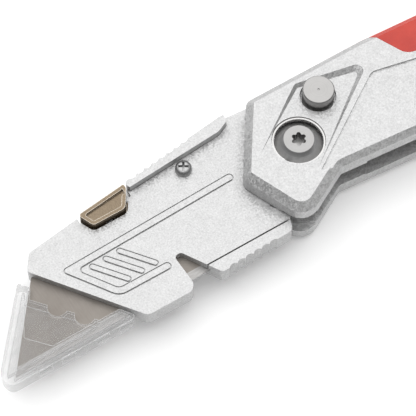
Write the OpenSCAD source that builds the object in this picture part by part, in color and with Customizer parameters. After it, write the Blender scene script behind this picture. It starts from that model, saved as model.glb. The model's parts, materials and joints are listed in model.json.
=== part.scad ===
// Folding utility knife, shown open: two metal scales, a folding nose that holds a
// trapezoid blade, a lock button, a blade release button and a clear blade guard.
// The knife lies on its back. X runs along it with the nose towards -X, the spine
// faces +Y, and Z is up through its thickness. The pivot's axis is the Z axis.

/* [Handle] */
// Thickness over both scales
handle_t = 16; // [15.6:0.1:17]
// Gap between the scales, where the nose folds in
gap_t = 5.4; // [5.4:0.1:5.8]
// Width and depth of the chamfer round the outer faces
chamfer = 1.8; // [1.2:0.1:2]
// Distance from the pivot to the end of the tail
tail_x = 95; // [92:1:100]
// Thickness of the red grip's skin
grip_t = 1.3; // [1:0.1:1.5]
// Radius of the lanyard hole
lanyard_r = 2.2; // [1.5:0.1:2.4]

/* [Nose] */
// Thickness of the blade holder
holder_t = 4.8; // [4.6:0.1:4.9]
// Height that the thumb ridge stands proud of the holder on each side
ridge_proud = 2; // [1:0.1:2.4]
// Height of the embossed hook and bars
rib_h = 0.15; // [0.1:0.05:0.5]
// Depth of the fine groove round the hook and bars
groove_d = 0.45; // [0.1:0.05:0.5]
// Radius of the scallops in both ridges
scallop_r = 1.25; // [1.15:0.05:1.5]

/* [Blade and guard] */
// Thickness of the blade
blade_t = 0.6; // [0.5:0.05:0.64]
// Width of the blade's ground edge
grind_w = 2; // [1:0.1:3]
// Thickness of the clear guard
guard_t = 4; // [3.6:0.1:4.4]

/* [Buttons] */
// Radius of the lock button's head
lock_r = 3.65; // [3.3:0.05:3.68]
// Height of the lock button's top above the knife's back
lock_top = 18.3; // [17.6:0.1:18.8]
// Travel of the lock button
lock_travel = 2.2; // [1.5:0.1:2.2]
// Travel of the blade release button
release_travel = 1.2; // [0.8:0.1:1.2]

/* [Hidden] */
eps = 0.05;                           // overlap of joined shapes
play = 0.06;                          // radial clearance of what turns or slides
mid_z = handle_t / 2;
gap_lo = mid_z - gap_t / 2;
gap_hi = mid_z + gap_t / 2;
nose_lo = mid_z - holder_t / 2;
nose_hi = mid_z + holder_t / 2;
part_z = mid_z + 0.4;                 // parting plane of the holder's halves
far = 140;

pivot_r = 3;
hub_r = 9.6;
bore_r = 6.15;
bore_floor = gap_hi + 2.5;
screw_r = 1.9;
button_at = [10, 7.5];
stem_r = 2.6;
stem_lo = 3.4;
stop_at = 12 * [cos(95), sin(95)];
stop_r = 1.75;
shoulder_a = 103.5;                   // where the nose meets the stop pin
fold_gap_a = 213;                     // the nose's last solid angle below the pivot
screw_places = [[70, 8.4], [81, 7.2]];
sleeve_r = 1.7;
eyelet_at = [89, 6.4];
eyelet_wall = 0.7;
release_spring_at = [-45, 9.1];

// Outlines are corners [x, y, corner radius], anticlockwise
handle_corners = [
    [-4.5, 15.1, 2.4], [-15.6, -1.3, 2.4], [-8.8, -17.4, 4.4], [4.9, -10.2, 1.6],
    [28, -12.2, 14], [52, -9.9, 30], [tail_x - 5, -12.2, 4], [tail_x, -4, 6],
    [tail_x - 2, 11.2, 5], [26, 15.1, 9],
];
grip_corners = [[27.2, 18, 0.3], [33, 6, 3.5], [41, 3.9, 8], [50, 5.4, 4], [54.5, 18, 0.3]];
pocket_corners = [[6.9, 12.6, 1.2], [-10.5, 0.5, 2], [-0.4, -8.6, 1], [24.8, 9, 1.5]];
panel_corners = [
    [-0.4, -9.4, 0.3], [30, -14.5, 0.3], [61, -9, 4], [57, -1.5, 4], [35.5, 3.6, 8],
    [23.6, 6.2, 2.6],
];
panel_d = 0.45;
inner_panel_d = 0.75;
inner_panel_corners = [[25.5, -8.2, 1.2], [58, -8, 3], [55, -2.3, 3], [33.6, 2.9, 1.5]];
nose_corners = [
    [-3.6, 15.45, 0.3], [-11, 16, 4], [-37.8, 12.85, 0.7], [-38.1, 11.2, 0.3],
    [-51.4, 11.3, 0.3], [-64.6, 9.6, 1.2], [-67.2, 5.9, 1.2], [-49.8, -17.15, 1.8],
    [-37.2, -17.25, 2.2],
    [-37.65, -7.9, 0.9], [-35.85, -7.9, 0.9], [-30.4, -16.8, 0.9],
    [-11.6, -16.2, 1.6], [-10.7, -13.2, 0.5], [-2, -4, 0.3], [-2, 6, 0.3],
];
ridge_corners = [
    [-38.6, 13.5, 0.2], [-37.7, 11.15, 0.2], [-13.2, 12.85, 3], [-10.2, 14.2, 0.6],
    [-10, 17, 0.2],
];
release_corners = [
    [-51, 11.2, 0.6], [-49.3, 7.25, 1.1], [-41.1, 7.25, 1.6], [-38.4, 11.5, 0.5],
    [-38.4, 12.65, 0.3],
];
blade_corners = [[-81.4, -14, 0], [-20.4, -14, 0], [-35, 5, 0], [-66.8, 5, 0]];
guard_corners = [
    [-70.4, 4.7, 0.6], [-84.7, -12.9, 3], [-83.4, -16.1, 1.8], [-51.6, -16.1, 0.8],
    [-54.3, -12.4, 0.5], [-59.3, -12.4, 0.6], [-70, 0, 0.5], [-68.3, 2.5, 0.5],
];
// Part of the guard's faces that lies lower than the walls and the tip
guard_panel_corners = [
    [-70.9, 1.1, 0.6], [-75.5, -7.5, 0.3], [-71.1, -12.4, 0.3], [-50, -12.4, 0.3],
    [-50, 8, 0.3], [-68, 8, 0.3],
];
guard_panel_d = 0.35;
guard_wall = 1.1;
guard_lobes = [[-65.5, -4.7], [-61.4, -9.6]];
lobe_r = 2.3;
guard_pocket_x = [-76.5, -70.8, -62.2, -56.4];
guard_pocket_w = 3.2;
// Centre line of the embossed hook, with the inner and outer radius of each bend
rib_path = [[-16.9, 2.4, 0, 0], [-59.3, 1.2, 1, 0.6], [-52.3, -9.1, 1.9, 3.3], [-40.2, -9.2, 0, 0]];
rib_w = 1.4;
bar_w = 1;
groove_w = 0.32;
end_flat = 0.03;                      // half the flat left between a band end's corners
bar_at = [-47.2, -0.5];
bar_step = [-3.55, -0.1];
bar_run = [5.2, -6.6];
notch_w = 3.2;
notch_x = [-47.5, -55.4];             // notches in the blade's back
notch_floor = 2.4;
holder_screw_at = [-24.6, 9.5];
lip_y = -13.4;                        // edge between the cover plate and finger ridge

// ---- outline functions ----
function turned(v, a) = [v[0] * cos(a) - v[1] * sin(a), v[0] * sin(a) + v[1] * cos(a)];
function unit(v) = v / norm(v);
function left_of(v) = [-v[1], v[0]];
function xy(c) = [c[0], c[1]];
function before(c, i) = xy(c[(i + len(c) - 1) % len(c)]);
function after(c, i) = xy(c[(i + 1) % len(c)]);
function turn_at(c, i) =
    let (a = unit(xy(c[i]) - before(c, i)), b = unit(after(c, i) - xy(c[i])))
    atan2(a[0] * b[1] - a[1] * b[0], a * b);

// The same corners moved inwards by d (outwards where d is negative)
function inset(c, d) = [
    for (i = [0:len(c) - 1])
        let (a = left_of(unit(xy(c[i]) - before(c, i))),
             b = left_of(unit(after(c, i) - xy(c[i]))),
             p = xy(c[i]) + d * (a + b) / (1 + a * b))
        [p[0], p[1], max(0.05, c[i][2] - sign(turn_at(c, i)) * d)]
];

// Points of an outline, its corners rounded in steps of up to 12 degrees. A corner that
// hardly turns stays one point
function rounded(c) = [
    for (i = [0:len(c) - 1])
        let (p = xy(c[i]), run = unit(p - before(c, i)), turn = turn_at(c, i), r = c[i][2],
             start = p - run * r * tan(abs(turn) / 2),
             centre = start + sign(turn) * r * left_of(run),
             n = abs(turn) < 12 ? 0 : ceil(abs(turn) / 12))
        if (n == 0) p else for (k = [0:n]) centre + turned(start - centre, turn * k / n)
];

// Outline of a band along a path of [x, y, inner radius, outer radius], its ends round.
// It is extra wider than the width w that the radii are for
function band_side(path, w, extra, i, side) =
    let (last = len(path) - 1, p = xy(path[i]),
         run_in = unit(p - xy(path[max(i - 1, 0)])),
         run_out = unit(xy(path[min(i + 1, last)]) - p),
         a = left_of(i > 0 ? run_in : run_out), b = left_of(i < last ? run_out : run_in),
         half = (w + extra) / 2,
         cap = i == 0 ? -half * run_out : i == last ? half * run_in : [0, 0],
         inner = side * sign(a[0] * b[1] - a[1] * b[0]),
         q = p + cap + side * half * (a + b) / (1 + a * b))
    [q[0], q[1], i == 0 || i == last ? half - end_flat
        : inner > 0 ? path[i][2] - extra / 2 : path[i][3] + extra / 2];
function band(path, w, extra) = concat(
    [for (i = [0:len(path) - 1]) band_side(path, w, extra, i, -1)],
    [for (i = [len(path) - 1:-1:0]) band_side(path, w, extra, i, 1)]);

// ---- solid helpers ----
// Solid through rings of equally many points, listed upwards
module loft(rings) {
    n = len(rings[0]);
    last = len(rings) - 1;
    polyhedron(
        points = [for (ring = rings) each ring],
        faces = concat(
            [[for (i = [0:n - 1]) i]],
            [[for (i = [n - 1:-1:0]) last * n + i]],
            [for (k = [0:last - 1], i = [0:n - 1])
                [k * n + i, (k + 1) * n + i, (k + 1) * n + (i + 1) % n, k * n + (i + 1) % n]]));
}

function lifted(points, z) = [for (p = points) [p[0], p[1], z]];

module slab(corners, lo, hi) {
    translate([0, 0, lo]) linear_extrude(hi - lo) polygon(rounded(corners));
}

module disc(at, r, lo, hi) {
    translate([at[0], at[1], lo]) cylinder(r = r, h = hi - lo, $fn = 64);
}

module ring(at, r_in, r_out, lo, hi) {
    difference() {
        disc(at, r_out, lo, hi);
        disc(at, r_in, lo - 1, hi + 1);
    }
}

// Handle body between two heights, chamfered where it meets an outer face
module handle_body(lo, hi, low_edge, high_edge) {
    side = rounded(handle_corners);
    low_face = rounded(inset(handle_corners, low_edge));
    high_face = rounded(inset(handle_corners, high_edge));
    loft([
        if (low_edge > 0) lifted(low_face, lo),
        lifted(side, lo + low_edge),
        lifted(side, hi - high_edge),
        if (high_edge > 0) lifted(high_face, hi),
    ]);
}

// What lies inside the grip's skin
module grip_core() {
    slab(inset(handle_corners, grip_t), grip_t, handle_t - grip_t);
}

module grip_region() {
    slab(grip_corners, -1, handle_t + 1);
}

// Room for the grip's skin in one scale
module grip_recess() {
    difference() {
        grip_region();
        grip_core();
    }
}

// Relief on a scale's inner face, which the embossed ribs pass through
module fold_relief(lo, hi) {
    difference() {
        translate([-20, -40, lo]) cube([far, 45, hi - lo]);
        disc([0, 0], 15.8, lo - 1, hi + 1);
    }
}

module six_lobe(at, r, lo, hi) {
    disc(at, r * 0.74, lo, hi);
    for (k = [0:5]) disc(at + r * 0.74 * [cos(60 * k), sin(60 * k)], r * 0.27, lo, hi);
}

// Coil spring standing on z = lo
module coil(at, r, wire, lo, hi, turns) {
    sides = 8;
    per_turn = 14;
    steps = turns * per_turn;
    rise = (hi - lo - 2 * wire) / steps;
    loft_tube([for (i = [0:steps])
        let (a = 360 * i / per_turn)
        [for (k = [0:sides - 1])
            let (b = -360 * k / sides, q = r + wire * cos(b))
            [at[0] + q * cos(a), at[1] + q * sin(a), lo + wire + rise * i + wire * sin(b)]]]);
}

// Tube through rings that aren't level
module loft_tube(rings) {
    n = len(rings[0]);
    last = len(rings) - 1;
    polyhedron(
        points = [for (ring = rings) each ring],
        faces = concat(
            [[for (i = [n - 1:-1:0]) i]],
            [[for (i = [0:n - 1]) last * n + i]],
            [for (k = [0:last - 1], i = [0:n - 1])
                [k * n + i, k * n + (i + 1) % n, (k + 1) * n + (i + 1) % n, (k + 1) * n + i]]));
}

// ---- handle ----
module scale_bores() {
    disc([0, 0], pivot_r, -1, handle_t + 1);
    disc(stop_at, stop_r, gap_lo - 2, gap_hi + 2);
    for (p = screw_places) disc(p, sleeve_r, -1, handle_t + 1);
    disc(eyelet_at, lanyard_r + eyelet_wall, -1, handle_t + 1);
}

module rear_scale() {
    color("silver") difference() {
        handle_body(0, gap_lo, chamfer, 0);
        scale_bores();
        grip_recess();
        fold_relief(gap_lo - 0.6, gap_lo + 1);
        disc([0, 0], 5, -1, 1.5);
        disc(button_at, 4.4, 0.9, gap_lo + 1);
        for (p = screw_places) disc(p, 2.1, -1, 1.3);
    }
}

// Diamond-shaped pocket round the pivot: sloping walls, and a floor that falls away
// towards the tail
module face_pocket() {
    deep = 2;
    intersection() {
        loft([
            lifted(rounded(inset(pocket_corners, deep)), handle_t - deep),
            lifted(rounded(inset(pocket_corners, -0.5)), handle_t + 0.5),
        ]);
        rotate([0, 0, 40]) translate([-6.4, -40, handle_t]) rotate([0, 2.4, 0]) cube([80, 80, 5]);
    }
}

module front_scale() {
    color("silver") difference() {
        handle_body(gap_hi, handle_t, 0, chamfer);
        scale_bores();
        grip_recess();
        fold_relief(gap_hi - 1, gap_hi + 0.6);
        face_pocket();
        slab(panel_corners, handle_t - panel_d, handle_t + 2);
        slab(inner_panel_corners, handle_t - inner_panel_d, handle_t + 2);
        disc([0, 0], bore_r, bore_floor, handle_t + 1);
        disc(button_at, lock_r + play, gap_hi - 1, gap_hi + 3.2);
        disc(button_at, lock_r + 0.55, gap_hi + 3.1, handle_t + 1);
        for (p = screw_places) disc(p, 2, handle_t - 2.6, handle_t + 1);
    }
}

module grip_saddle() {
    color("firebrick") difference() {
        intersection() {
            handle_body(0, handle_t, chamfer, chamfer);
            grip_region();
        }
        grip_core();
    }
}

// Highest line that the folded nose and its guard reach in the gap
function fold_line(x) = 18.3 - 0.1763 * x;

module spine_spacer() {
    color("dimgray") difference() {
        translate([0, 0, gap_lo]) linear_extrude(gap_t) intersection() {
            polygon(rounded(inset(handle_corners, grip_t + 0.02)));
            polygon([[43, fold_line(43) + 0.4], [93.2, fold_line(93.2) + 0.4], [93.2, 20], [43, 20]]);
        }
        for (p = screw_places) disc(p, sleeve_r, -1, handle_t);
        disc(eyelet_at, lanyard_r + eyelet_wall, -1, handle_t);
    }
}

module pivot_barrel() {
    color("gray") difference() {
        union() {
            disc([0, 0], 4.95, 0, 1.5);
            disc([0, 0], pivot_r, 1.4, bore_floor);
        }
        disc([0, 0], screw_r, 5, handle_t);
        for (x = [-3, 3]) disc([x, 0], 0.6, -1, 0.8);
    }
}

module pivot_screw() {
    head_lo = bore_floor;
    flange_hi = head_lo + 0.7;
    top = handle_t + 0.2;
    color("lightgray") difference() {
        union() {
            disc([0, 0], screw_r, 6, head_lo + 0.2);
            rotate_extrude($fn = 64) polygon([
                [0, head_lo], [5.45, head_lo], [5.45, flange_hi], [3.6, top - 0.15],
                [3.45, top], [0, top],
            ]);
        }
        six_lobe([0, 0], 1.68, top - 2.4, top + 1);
    }
}

module pivot_snap_ring() {
    color("gainsboro") difference() {
        ring([0, 0], 5.6, bore_r - 0.05, bore_floor, bore_floor + 2);
        rotate([0, 0, 212]) translate([0, 0, bore_floor - 1]) rotate([0, 0, -6])
            cube([8, 1.4, 4]);
    }
}

module front_thrust_washer() {
    color("goldenrod") ring([0, 0], pivot_r, 8, nose_hi + eps, gap_hi);
}

module rear_thrust_washer() {
    color("goldenrod") ring([0, 0], pivot_r, 8, gap_lo, nose_lo - eps);
}

module stop_pin() {
    color("gray") disc(stop_at, stop_r, gap_lo - 2, gap_hi + 2);
}

module body_screws() {
    color("lightgray") for (p = screw_places) difference() {
        union() {
            disc(p, 1.9, handle_t - 2.6, handle_t - 0.7);
            disc(p, 1.1, 7, handle_t - 2.5);
        }
        six_lobe(p, 1.1, handle_t - 1.8, handle_t);
    }
}

module body_sleeves() {
    color("gray") for (p = screw_places) difference() {
        union() {
            disc(p, 2.05, 0.2, 1.3);
            disc(p, sleeve_r, 1.2, handle_t - 2.6);
        }
        disc(p, 1.1, 6, handle_t);
    }
}

module lanyard_eyelet() {
    color("gainsboro") ring(eyelet_at, lanyard_r, lanyard_r + eyelet_wall, 0, handle_t);
}

// ---- lock button ----
module lock_guide_bush() {
    color("goldenrod") ring(button_at, stem_r + play, 4.38, gap_lo - 1, gap_lo);
}

module lock_button() {
    head_lo = gap_hi + 2.25;
    color("lightgray") difference() {
        translate([button_at[0], button_at[1], 0]) rotate_extrude($fn = 64) polygon([
            [0, stem_lo], [stem_r, stem_lo], [stem_r, head_lo], [lock_r, head_lo],
            [lock_r, lock_top - 0.2], [lock_r - 0.2, lock_top], [0, lock_top],
        ]);
        ring(button_at, 2.3, 3, 3.6, 4.2);
        disc(button_at, 1.8, stem_lo - 1, head_lo - 2);
        disc(button_at, 0.2, lock_top - 0.15, lock_top + 1);
    }
}

module lock_retaining_ring() {
    color("dimgray") difference() {
        ring(button_at, 2.3, 3.9, 3.6, 4.2);
        translate([button_at[0], button_at[1] - 1.2, 3]) cube([6, 2.4, 2]);
    }
}

module lock_spring() {
    color("silver") coil(button_at, 1.35, 0.28, 0.9, gap_hi + 0.2, 6);
}

// ---- nose ----
// Part of the gap that the lock button's stem and the stop pin need, at every fold
module hub_clearance() {
    intersection() {
        ring([0, 0], hub_r + 0.1, 15.4, nose_lo - 1, nose_hi + 1);
        translate([0, 0, nose_lo - 2]) linear_extrude(holder_t + 4)
            polygon([[0, 0], for (k = [0:10])
                let (a = fold_gap_a + (360 + shoulder_a - fold_gap_a) * k / 10)
                40 * [cos(a), sin(a)]]);
    }
}

// Flat body of the nose between two heights, with its hub
module nose_body(lo, hi) {
    difference() {
        union() {
            difference() {
                slab(nose_corners, lo, hi);
                hub_clearance();
            }
            disc([0, 0], hub_r, lo, hi);
        }
        disc([0, 0], pivot_r + play, lo - 1, hi + 1);
    }
}

// Scallops across the spine and across the lower edge
module scallops() {
    ridge_run = unit([26.8, 3.2]);
    for (k = [0:7])
        let (p = [-35.6, 13.15] + 2.1 * k * ridge_run + 0.8 * left_of(ridge_run))
        disc(p, scallop_r, 0, handle_t);
    for (k = [0:5])
        disc([-27.6 + 2.15 * k, -17.5 + 0.07 * k], scallop_r, 0, handle_t);
}

// Room for the release button: opening in the cover plate, pocket in the rear half
module release_opening(lo, hi) {
    slab(inset(release_corners, -0.5), lo, hi);
    translate([-51.3, 10, lo]) cube([13.2, 5, hi - lo]);
}

module release_pocket() {
    floor_z = nose_lo + 0.6;
    intersection() {
        slab(inset(release_corners, -0.8), floor_z, handle_t);
        translate([-60, 0, 0]) cube([30, 10.2, handle_t]);
    }
    release_opening(floor_z, handle_t);
    translate([notch_x[0] - 1.7, notch_floor + 0.6, floor_z]) cube([3.4, 5, handle_t]);
}

// The hook and the three bars, each band widened by extra
module ribs(extra, lo, hi) {
    slab(band(rib_path, rib_w, extra), lo, hi);
    for (k = [0:2]) {
        start = bar_at + k * bar_step;
        slab(band([start, start + bar_run], bar_w, extra), lo, hi);
    }
}

// Fine groove round each rib, sunk into a face at z = 0
module rib_grooves() {
    difference() {
        ribs(2 * groove_w, -groove_d, 1);
        ribs(0, -groove_d - 1, 2);
    }
}

module holder_rear_half() {
    color("silver") difference() {
        union() {
            nose_body(nose_lo, part_z);
            intersection() {
                slab(nose_corners, nose_lo - ridge_proud, nose_hi + ridge_proud);
                slab(ridge_corners, nose_lo - ridge_proud, nose_hi + ridge_proud);
            }
            intersection() {
                slab(nose_corners, nose_lo, nose_hi);
                translate([-33.5, -30, nose_lo]) cube([40, 30 + lip_y - 0.35, holder_t]);
            }
            translate([0, 0, nose_lo]) mirror([0, 0, 1]) ribs(0, -eps, rib_h);
        }
        translate([0, 0, nose_lo]) mirror([0, 0, 1]) rib_grooves();
        scallops();
        translate([0, 0, mid_z - blade_t / 2 - 0.02]) linear_extrude(part_z - mid_z + blade_t / 2 + 0.02)
            polygon([for (c = inset(blade_corners, -0.08)) xy(c)]);
        release_pocket();
        disc(holder_screw_at, 1, nose_lo + 0.6, handle_t);
    }
}

module holder_front_half() {
    color("silver") difference() {
        union() {
            nose_body(part_z, nose_hi);
            translate([0, 0, nose_hi]) ribs(0, -eps, rib_h);
        }
        translate([0, 0, nose_hi]) rib_grooves();
        slab(inset(ridge_corners, -0.08), part_z - 1, handle_t);
        translate([-33.5, -30, part_z - 1]) cube([40, 30 + lip_y, holder_t]);
        release_opening(part_z - 1, handle_t);
        disc(holder_screw_at, 1, 0, handle_t);
    }
}

module holder_screw() {
    top = nose_hi + 1.8;
    color("gainsboro") difference() {
        union() {
            disc(holder_screw_at, 1, nose_lo + 0.8, nose_hi + 0.1);
            translate([holder_screw_at[0], holder_screw_at[1], nose_hi])
                rotate_extrude($fn = 48) polygon([
                    [0, 0], [1.9, 0], [1.9, 0.8], [1.8, 1.2], [1.5, 1.52], [1, 1.72], [0, 1.8],
                ]);
        }
        translate([holder_screw_at[0], holder_screw_at[1], top - 1.5]) rotate([0, 0, 58])
            for (a = [0, 90]) rotate([0, 0, a]) translate([-1.2, -0.27, 0]) cube([2.4, 0.54, 2]);
    }
}

module blade() {
    tilt = atan2(blade_t / 2, grind_w);
    color("dimgray") difference() {
        translate([0, 0, mid_z - blade_t / 2]) linear_extrude(blade_t)
            polygon([for (c = blade_corners) xy(c)]);
        for (x = notch_x) translate([x - notch_w / 2, notch_floor, 0]) cube([notch_w, 5, handle_t]);
        for (s = [0, 1]) translate([0, 0, mid_z]) mirror([0, 0, s])
            translate([-100, -14, 0.02]) rotate([tilt, 0, 0]) translate([0, -5, 0])
            cube([100, 20, 5]);
    }
}

module release_button() {
    flange_lo = mid_z - 0.4;
    top = nose_hi + 1.8;
    color("tan") difference() {
        union() {
            slab(release_corners, flange_lo, top);
            intersection() {
                slab(inset(release_corners, -0.55), flange_lo, flange_lo + 0.7);
                translate([-60, 0, 0]) cube([30, 9.9, handle_t]);
            }
            translate([notch_x[0] - 1.4, notch_floor + 1, mid_z - 0.26]) cube([2.8, 5, 0.5]);
        }
        disc(release_spring_at, 2.1, flange_lo - 1, nose_hi);
        // thumb rest, deepest along the spine
        intersection() {
            slab([for (c = inset(release_corners, 0.85)) [c[0], c[1], 0.5]], top - 1, top + 1);
            translate([-60, 7, top - 0.15]) rotate([-6, 0, 0]) cube([30, 8, 3]);
        }
    }
}

module release_spring() {
    color("silver") coil(release_spring_at, 1.6, 0.2, nose_lo + 0.62, nose_hi - 0.05, 4);
}

// ---- blade guard ----
module blade_guard() {
    lo = mid_z - guard_t / 2;
    hi = mid_z + guard_t / 2;
    color("azure", 0.4) difference() {
        slab(guard_corners, lo, hi);
        slab(guard_panel_corners, lo - 1, lo + guard_panel_d);
        slab(guard_panel_corners, hi - guard_panel_d, hi + 1);
        for (p = guard_lobes) disc(p, lobe_r, lo - 1, hi + 1);
        // slot for the blade, open towards the nose
        translate([0, 0, mid_z - blade_t / 2 - 0.12]) linear_extrude(blade_t + 0.24)
            polygon([[-82.2, -14.5], [-40, -14.5], [-40, 9], [-67.3, 9], [-67.3, 5]]);
        // hollow between the two walls
        intersection() {
            slab(inset(guard_corners, 1.3), lo + guard_wall, hi - guard_wall);
            translate([-90, -13, 0]) cube([60, 30, handle_t]);
        }
        // shallow pockets along the lower edge
        for (x = guard_pocket_x)
            translate([x, -17, lo + 0.6]) cube([guard_pocket_w, 1.35, guard_t - 1.2]);
    }
}

rear_scale();
front_scale();
grip_saddle();
spine_spacer();
pivot_barrel();
pivot_screw();
pivot_snap_ring();
front_thrust_washer();
rear_thrust_washer();
stop_pin();
body_screws();
body_sleeves();
lanyard_eyelet();
lock_guide_bush();
lock_button();
lock_retaining_ring();
lock_spring();
holder_rear_half();
holder_front_half();
holder_screw();
blade();
release_button();
release_spring();
blade_guard();
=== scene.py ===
"""Looks of the folding utility knife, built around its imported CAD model."""

import json
import math

import bmesh
import bpy
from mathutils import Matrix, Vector


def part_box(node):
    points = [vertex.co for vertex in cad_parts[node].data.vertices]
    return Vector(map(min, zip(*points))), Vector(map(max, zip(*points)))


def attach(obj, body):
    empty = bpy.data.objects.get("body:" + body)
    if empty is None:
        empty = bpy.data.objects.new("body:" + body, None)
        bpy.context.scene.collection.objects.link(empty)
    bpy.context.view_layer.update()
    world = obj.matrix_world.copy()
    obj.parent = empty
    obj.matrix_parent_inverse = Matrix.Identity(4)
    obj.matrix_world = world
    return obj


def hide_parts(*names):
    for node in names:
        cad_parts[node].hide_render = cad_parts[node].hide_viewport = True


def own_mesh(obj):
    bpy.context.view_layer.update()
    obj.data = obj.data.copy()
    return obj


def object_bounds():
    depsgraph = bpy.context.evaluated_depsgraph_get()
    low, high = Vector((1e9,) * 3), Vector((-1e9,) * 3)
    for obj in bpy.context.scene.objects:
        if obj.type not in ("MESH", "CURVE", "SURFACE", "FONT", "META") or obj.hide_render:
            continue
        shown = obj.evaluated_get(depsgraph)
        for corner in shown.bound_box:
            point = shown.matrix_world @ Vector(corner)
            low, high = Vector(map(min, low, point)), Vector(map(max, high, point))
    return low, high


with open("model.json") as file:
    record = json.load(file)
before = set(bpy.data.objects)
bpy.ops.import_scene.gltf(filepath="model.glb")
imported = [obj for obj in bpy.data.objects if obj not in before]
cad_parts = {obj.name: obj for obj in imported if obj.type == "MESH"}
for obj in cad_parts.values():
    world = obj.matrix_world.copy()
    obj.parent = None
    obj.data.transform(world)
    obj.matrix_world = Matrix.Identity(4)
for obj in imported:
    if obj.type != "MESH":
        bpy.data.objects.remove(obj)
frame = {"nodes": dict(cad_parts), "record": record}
cad_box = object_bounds()
MM = 0.001

# ---- camera ----
AZIMUTH = math.radians(-31.6)
ELEVATION = math.radians(63)
DISTANCE = 0.5
LENS = 192.5
SENSOR_WIDTH = 36
AIM = Vector((-24.36, -0.69, 8.2)) * MM  # the point in the middle of the view


def make_camera():
    data = bpy.data.cameras.new("camera")
    data.lens, data.sensor_width = LENS, SENSOR_WIDTH
    data.clip_start, data.clip_end = 0.01, 20
    cam = bpy.data.objects.new("camera", data)
    bpy.context.scene.collection.objects.link(cam)
    back = Vector((
        math.sin(AZIMUTH) * math.cos(ELEVATION),
        -math.cos(AZIMUTH) * math.cos(ELEVATION),
        math.sin(ELEVATION),
    ))
    cam.location = AIM + back * DISTANCE
    cam.rotation_euler = back.to_track_quat("Z", "Y").to_euler()
    bpy.context.scene.camera = cam


# ---- materials ----
# Texture scales are in cells or waves a metre, and bump distances and edge radii in metres.
NOISE_SPREAD = (0.3, 0.7)  # where most of a noise texture's values lie
STAIN_SPREAD = (0.3, 0.6)  # the same, leaving the lightest stains out
TOOL_LINES = 9000
LATHE_RINGS = 5200
PIVOT_FLAT_R = 3.5 * MM  # radius of the pivot screw's flat top, where its cone begins
GRIND_Y = -12.1 * MM  # the line at which the blade's ground edge begins
GRIND_BLUR = 0.05 * MM


def grey(v, warm=0.0):
    return (v + warm, v, v - warm, 1)


def darker(colour, share):
    return tuple(c * share for c in colour[:3]) + (1,)


class Graph:
    """A material's nodes, each made and wired by one call."""

    def __init__(self, name):
        self.material = bpy.data.materials.new(name)
        self.material.use_nodes = True
        self.tree = self.material.node_tree
        self.shader = self.tree.nodes["Principled BSDF"]
        self.place = self.add("ShaderNodeTexCoord").outputs["Object"]

    def add(self, kind, settings=None, **inputs):
        """A new node. Its inputs go by name, or by number as _0, _1 and so on."""
        node = self.tree.nodes.new(kind)
        for key, value in (settings or {}).items():
            setattr(node, key, value)
        for key, value in inputs.items():
            number = key[1:]
            socket = int(number) if number.isdigit() else key.replace("_", " ")
            self.put(node.inputs[socket], value)
        return node

    def put(self, socket, value):
        if isinstance(value, bpy.types.NodeSocket):
            self.tree.links.new(value, socket)
        else:
            socket.default_value = value

    def set(self, **inputs):
        """Sets the shader's own inputs."""
        for key, value in inputs.items():
            self.put(self.shader.inputs[key.replace("_", " ")], value)

    def scaled(self, x, y, z):
        """The object's own coordinates, stretched."""
        return self.add("ShaderNodeMapping", Vector=self.place, Scale=(x, y, z)).outputs[0]

    def noise(self, scale, detail, where=None):
        n = self.add("ShaderNodeTexNoise", Vector=where or self.place, Scale=scale, Detail=detail)
        return n.outputs["Fac"]

    def cells(self, scale):
        """A random colour for each small cell."""
        return self.add("ShaderNodeTexVoronoi", Vector=self.place, Scale=scale).outputs["Color"]

    def span(self, value, low, high, at=(0.0, 1.0)):
        """value, mapped from the range at onto low..high."""
        return self.add(
            "ShaderNodeMapRange", _0=value, _1=at[0], _2=at[1], _3=low, _4=high
        ).outputs[0]

    def math(self, what, a, b=0.0):
        return self.add("ShaderNodeMath", {"operation": what}, _0=a, _1=b).outputs[0]

    def vector(self, what, a, b=(0, 0, 0), output="Vector"):
        return self.add("ShaderNodeVectorMath", {"operation": what}, _0=a, _1=b).outputs[output]

    def mix(self, factor, a, b):
        n = self.add("ShaderNodeMix", {"data_type": "RGBA"}, _0=factor, _6=a, _7=b)
        return n.outputs[2]

    def bump(self, height, distance, strength):
        n = self.add("ShaderNodeBump", Height=height, Distance=distance, Strength=strength)
        return n.outputs[0]

    def edge(self, radius):
        """0 on flat stretches, 1 near a sharp edge."""
        rounded = self.add("ShaderNodeBevel", {"samples": 6}, Radius=radius).outputs[0]
        own = self.add("ShaderNodeNewGeometry").outputs["Normal"]
        along = self.vector("DOT_PRODUCT", rounded, own, "Value")
        return self.span(along, 1.0, 0.0, (0.72, 0.985))


def silver_paint(name, edge_wear_and_highlight):
    """Silver powder coat: fine bright and dark grains on a slightly uneven skin.

    The last argument is how far its edges are lightened: partly rubbed wear, partly a painted
    highlight.
    """
    g = Graph(name)
    grains = g.cells(3300)
    grain = g.add("ShaderNodeSeparateColor", Color=grains).outputs[0]
    fine = g.noise(2600, 3)
    cloud = g.noise(420, 4)
    tone = g.math("ADD", g.span(grain, -0.26, 0.26), g.span(fine, -0.2, 0.2, NOISE_SPREAD))
    level = g.math("ADD", tone, g.span(cloud, 0.44, 0.56, NOISE_SPREAD))
    paint = g.mix(level, grey(0.375), grey(0.675))
    if edge_wear_and_highlight:
        # edges lightened toward near-white: partly rubbed wear, partly a painted highlight
        rubbed_and_highlit = g.math("MULTIPLY", g.edge(0.22 * MM), edge_wear_and_highlight)
        paint = g.mix(rubbed_and_highlit, paint, grey(0.9))
    g.set(Base_Color=paint, Metallic=0.7)
    g.set(Roughness=g.span(grain, 0.36, 0.58))
    skin = g.bump(g.noise(1500, 2), 0.05 * MM, 0.6)
    tilt = g.vector("MULTIPLY", g.vector("SUBTRACT", grains, (0.5, 0.5, 0.5)), (0.3, 0.3, 0.3))
    g.set(Normal=g.vector("NORMALIZE", g.vector("ADD", skin, tilt)))
    return g.material


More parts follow.
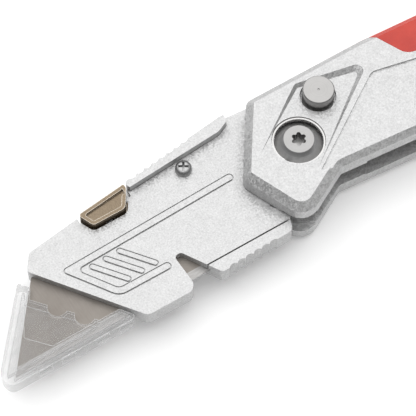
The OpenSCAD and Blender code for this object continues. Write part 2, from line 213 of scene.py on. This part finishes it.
def metal(name, colour, rough, lines):
    """Machined metal with fine tool lines; lines is their stretch along X, Y and Z."""
    g = Graph(name)
    streak = g.noise(TOOL_LINES, 3, g.scaled(*lines))
    stain = g.noise(260, 4)
    tone = g.math(
        "MULTIPLY", g.span(streak, 0.2, 1.0, NOISE_SPREAD), g.span(stain, 0.8, 1.0, STAIN_SPREAD)
    )
    g.set(Base_Color=g.mix(tone, darker(colour, 0.72), colour), Metallic=1.0)
    g.set(Roughness=g.span(streak, rough - 0.07, rough + 0.1, NOISE_SPREAD))
    g.set(Normal=g.bump(streak, 0.01 * MM, 0.4))
    return g.material


def turned_metal(name, colour, rough, centre, cone=None):
    """Metal turned in a lathe: rings round an axis along Z.

    cone is the radius where the ground cone begins; its colour is lighter there, partly its ground
    finish and partly a painted reflection.
    """
    g = Graph(name)
    flat = g.vector("MULTIPLY", g.vector("SUBTRACT", g.place, centre), (1, 1, 0))
    radius = g.vector("LENGTH", flat, output="Value")
    across = g.add("ShaderNodeCombineXYZ", X=g.math("MULTIPLY", radius, LATHE_RINGS)).outputs[0]
    rings = g.noise(1.0, 3, across)
    stain = g.noise(500, 4)
    tone = g.math(
        "MULTIPLY", g.span(rings, 0.35, 1.0, NOISE_SPREAD), g.span(stain, 0.85, 1.0, STAIN_SPREAD)
    )
    face = g.mix(tone, darker(colour, 0.7), colour)
    if cone:
        # the cone's lighter colour: partly its ground finish, partly a painted reflection of the
        # light it catches
        cone_finish_and_reflection = g.span(radius, 0.0, 1.0, (cone - 0.1 * MM, cone + 0.1 * MM))
        face = g.mix(cone_finish_and_reflection, face, g.mix(tone, grey(0.46), grey(0.66)))
    g.set(Base_Color=face, Metallic=1.0, Anisotropic=0.6)
    g.set(Tangent=g.add("ShaderNodeTangent", {"direction_type": "RADIAL", "axis": "Z"}).outputs[0])
    g.set(Roughness=g.span(rings, rough - 0.05, rough + 0.1, NOISE_SPREAD))
    g.set(Normal=g.bump(rings, 0.012 * MM, 0.5))
    return g.material


def blade_steel():
    """Warm dark satin blade body, a little lighter where its lower edge is ground."""
    g = Graph("blade_steel")
    along = g.noise(5000, 3, g.scaled(1, 0.07, 1))
    across = g.noise(6000, 2, g.scaled(0.08, 1, 1))
    cloud = g.noise(180, 3)
    height = g.add("ShaderNodeSeparateXYZ", Vector=g.place).outputs["Y"]
    ground = g.span(height, 1.0, 0.0, (GRIND_Y - GRIND_BLUR, GRIND_Y + GRIND_BLUR))
    tone = g.math("ADD", g.span(along, 0.1, 0.4, NOISE_SPREAD), g.span(cloud, 0.0, 0.5, NOISE_SPREAD))
    body = g.mix(tone, (0.185, 0.165, 0.147, 1), (0.245, 0.226, 0.205, 1))
    edge = g.mix(g.span(across, 0.0, 1.0, NOISE_SPREAD), grey(0.27, 0.008), grey(0.38, 0.006))
    g.set(Base_Color=g.mix(ground, body, edge), Metallic=0.8)
    g.set(Roughness=g.span(ground, 0.46, 0.4))
    g.set(Normal=g.bump(g.noise(320, 2), 0.03 * MM, 0.4), Anisotropic=0.4)
    return g.material


def red_grip():
    """Soft-touch red moulding with a fine texture."""
    g = Graph("red_grip")
    fine = g.noise(4200, 3)
    broad = g.span(g.noise(220, 3), 0, 1, NOISE_SPREAD)
    g.set(Base_Color=g.mix(broad, (0.46, 0.034, 0.022, 1), (0.57, 0.05, 0.031, 1)))
    g.set(Roughness=g.span(fine, 0.42, 0.6, NOISE_SPREAD), Specular_IOR_Level=0.45)
    g.set(Normal=g.bump(fine, 0.03 * MM, 0.5))
    return g.material


def dark_plastic():
    """Moulded near-black plastic with a fine texture."""
    g = Graph("dark_plastic")
    fine = g.noise(3500, 3)
    g.set(Base_Color=g.mix(fine, (0.03, 0.03, 0.032, 1), (0.06, 0.06, 0.063, 1)))
    g.set(Roughness=g.span(fine, 0.45, 0.65, NOISE_SPREAD))
    g.set(Normal=g.bump(fine, 0.03 * MM, 0.5))
    return g.material


def clear_plastic():
    """Clear moulded plastic: thin faces, denser upright walls, edges painted white and denser as a
    painted highlight, flow marks.
    """
    g = Graph("clear_plastic")
    flow = g.noise(240, 2, g.scaled(1, 2.2, 1))
    # painted highlight: edges turn near-white and more opaque, standing in for light caught along
    # them
    edge_highlight = g.edge(0.3 * MM)
    normal = g.add("ShaderNodeTexCoord").outputs["Normal"]
    level = g.math("ABSOLUTE", g.add("ShaderNodeSeparateXYZ", Vector=normal).outputs["Z"])
    body = g.mix(flow, grey(0.48), grey(0.58))
    g.set(Base_Color=g.mix(edge_highlight, body, grey(0.94, -0.004)))
    dense = g.math("ADD", g.span(level, 0.36, 0.1), g.span(flow, 0.0, 0.06, NOISE_SPREAD))
    g.set(Alpha=g.math("ADD", dense, g.span(edge_highlight, 0.0, 0.6)))
    g.set(Roughness=g.span(flow, 0.06, 0.16, NOISE_SPREAD))
    return g.material


def bronze_nickel():
    """Satin bronze-coloured plating, its edges painted lighter: partly wear, partly a painted
    highlight.
    """
    g = Graph("bronze_nickel")
    grain = g.noise(6000, 3, g.scaled(1, 0.25, 1))
    tone = g.span(grain, 0.1, 1.0, NOISE_SPREAD)
    base = g.mix(tone, (0.145, 0.112, 0.078, 1), (0.25, 0.198, 0.14, 1))
    # edges mixed toward pale gold: partly wear, partly a painted highlight
    g.set(Base_Color=g.mix(g.edge(0.3 * MM), base, (0.78, 0.72, 0.64, 1)), Metallic=0.9)
    g.set(Roughness=g.span(grain, 0.32, 0.46, NOISE_SPREAD))
    g.set(Normal=g.bump(grain, 0.012 * MM, 0.5))
    return g.material


# ---- pieces ----
WELD = 0.001 * MM
FLAT_ANGLE = math.radians(0.6)  # neighbouring faces closer than this become one
EDGE_ANGLE = math.radians(28)  # edges sharper than this are rounded
EDGE_SEGMENTS = 3


def welded_copy(node):
    """A clean copy of a CAD node's mesh: seams closed, flat faces whole, no stored normals."""
    bm = bmesh.new()
    bm.from_mesh(frame["nodes"][node].data)
    bmesh.ops.remove_doubles(bm, verts=bm.verts, dist=WELD)
    bmesh.ops.dissolve_limit(
        bm, angle_limit=FLAT_ANGLE, verts=bm.verts, edges=bm.edges, use_dissolve_boundaries=False
    )
    for layer in list(bm.loops.layers.float_vector):
        bm.loops.layers.float_vector.remove(layer)
    clean = bpy.data.meshes.new(node + "_finished")
    bm.to_mesh(clean)
    bm.free()
    return clean


def soften(obj, edge_mm):
    """Rounds an object's sharp edges and shades its faces evenly."""
    for face in obj.data.polygons:
        face.use_smooth = True
    if edge_mm:
        bevel = obj.modifiers.new("soft_edges", "BEVEL")
        bevel.width, bevel.segments = edge_mm * MM, EDGE_SEGMENTS
        bevel.limit_method, bevel.angle_limit = "ANGLE", EDGE_ANGLE
        bevel.harden_normals = True
        bevel.use_clamp_overlap = True
    even = obj.modifiers.new("even_shading", "WEIGHTED_NORMAL")
    even.keep_sharp = True


def body_of_node(node):
    bodies = frame["record"]["behaviour"]["bodies"]
    return next(body for body, members in bodies.items() if node in members)


def dress(node, material, edge_mm):
    """Stands a softened copy of a CAD node in its place."""
    obj = bpy.data.objects.new(node + "_body", welded_copy(node))
    bpy.context.scene.collection.objects.link(obj)
    obj.data.materials.append(material)
    soften(obj, edge_mm)
    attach(obj, body_of_node(node))
    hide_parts(node)
    return obj


# ---- surroundings ----
FLOOR_HALF = 3
FLOOR_DROP = 0.1 * MM  # how far the floor lies below the knife
BRIGHTEST = Vector((0.12, 0.2, 0.97)).normalized()  # the way to the room's brightest part
WALL_LEVEL = 0.9


def make_floor():
    g = Graph("floor")
    g.set(Base_Color=g.mix(g.noise(30, 3), grey(0.93), grey(0.95)), Roughness=0.8)
    g.set(Emission_Color=grey(1.0), Emission_Strength=0.12)
    bm = bmesh.new()
    bmesh.ops.create_grid(bm, x_segments=1, y_segments=1, size=FLOOR_HALF)
    mesh = bpy.data.meshes.new("floor")
    bm.to_mesh(mesh)
    bm.free()
    floor = bpy.data.objects.new("floor", mesh)
    bpy.context.scene.collection.objects.link(floor)
    floor.location.z = cad_box[0][2] - FLOOR_DROP
    mesh.materials.append(g.material)


def soft_light(name, size, power, place):
    """A rectangular lamp that shines at the origin."""
    data = bpy.data.lights.new(name, "AREA")
    data.shape, data.size, data.size_y = "RECTANGLE", size[0], size[1]
    data.energy = power
    lamp = bpy.data.objects.new(name, data)
    bpy.context.scene.collection.objects.link(lamp)
    lamp.location = place
    lamp.rotation_euler = Vector(place).to_track_quat("Z", "Y").to_euler()


def make_room():
    """A bright studio, lightest overhead and darker low down."""
    world = bpy.data.worlds.new("studio")
    bpy.context.scene.world = world
    world.use_nodes = True
    tree = world.node_tree
    coord = tree.nodes.new("ShaderNodeTexCoord")
    facing = tree.nodes.new("ShaderNodeVectorMath")
    facing.operation = "DOT_PRODUCT"
    facing.inputs[1].default_value = BRIGHTEST
    level = tree.nodes.new("ShaderNodeMapRange")
    level.inputs["To Min"].default_value = 0.1
    level.inputs["To Max"].default_value = 1.1
    tree.links.new(coord.outputs["Generated"], facing.inputs[0])
    tree.links.new(facing.outputs["Value"], level.inputs["Value"])
    # behind the floor the room shows as an even pale wall
    seen = tree.nodes.new("ShaderNodeLightPath").outputs["Is Camera Ray"]
    wall = tree.nodes.new("ShaderNodeMix")
    wall.inputs["B"].default_value = WALL_LEVEL
    tree.links.new(seen, wall.inputs["Factor"])
    tree.links.new(level.outputs["Result"], wall.inputs["A"])
    background = tree.nodes["Background"]
    background.inputs["Color"].default_value = (1, 1, 1, 1)
    tree.links.new(wall.outputs["Result"], background.inputs["Strength"])


make_camera()
make_floor()
make_room()
soft_light("overhead", size=(2.0, 2.0), power=14, place=(0.15, 0.4, 1.3))
bpy.context.scene.view_settings.view_transform = "Standard"

lock_low, lock_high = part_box("lock_button")
lock_centre = (lock_low + lock_high) / 2
nose_paint = silver_paint("nose_paint", edge_wear_and_highlight=0)
scale_paint = silver_paint("scale_paint", edge_wear_and_highlight=0.6)
pivot_steel = turned_metal("pivot_turned", grey(0.34, 0.004), 0.3, (0, 0, 0), PIVOT_FLAT_R)
lock_steel = turned_metal("lock_turned", grey(0.36, 0.006), 0.32, lock_centre)
dull_steel = metal("dull_screw_steel", grey(0.4), 0.3, (1, 1, 0.1))
plain_steel = metal("plain_steel", grey(0.42), 0.38, (1, 1, 0.1))
bright_steel = metal("bright_steel", grey(0.5, 0.006), 0.26, (1, 1, 0.1))
washer_bronze = metal("bronze_washer", (0.60, 0.42, 0.2, 1), 0.36, (1, 1, 0.2))

# Each finish, the width of its softened edges in mm, and the CAD nodes that wear it
FINISHES = [
    (scale_paint, 0.25, ["rear_scale", "front_scale"]),
    (nose_paint, 0.12, ["holder_rear_half", "holder_front_half"]),
    (red_grip(), 0.2, ["grip_saddle"]),
    (dark_plastic(), 0.1, ["spine_spacer"]),
    (blade_steel(), 0, ["blade"]),
    (clear_plastic(), 0.12, ["blade_guard"]),
    (bronze_nickel(), 0.32, ["release_button"]),
    (pivot_steel, 0.12, ["pivot_screw"]),
    (lock_steel, 0.15, ["lock_button"]),
    (dull_steel, 0.08, ["holder_screw"]),
    (bright_steel, 0.08, ["body_screws", "lanyard_eyelet", "pivot_snap_ring"]),
    (plain_steel, 0.1, ["pivot_barrel", "stop_pin", "body_sleeves", "lock_retaining_ring"]),
    (washer_bronze, 0.04, ["front_thrust_washer", "rear_thrust_washer", "lock_guide_bush"]),
]
for finish, edge_width, nodes in FINISHES:
    for name in nodes:
        dress(name, finish, edge_width)

# Each spring, the button that presses it, the height of its fixed end and the part of its
# length that is left when the button is down
SPRINGS = [
    ("lock_spring", "lock_button_press", 0.9 * MM, 0.78),
    ("release_spring", "release_button_press", 6.22 * MM, 0.71),
]
for name, joint, fixed_z, left in SPRINGS:
    spring = dress(name, plain_steel, 0)
    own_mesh(spring)
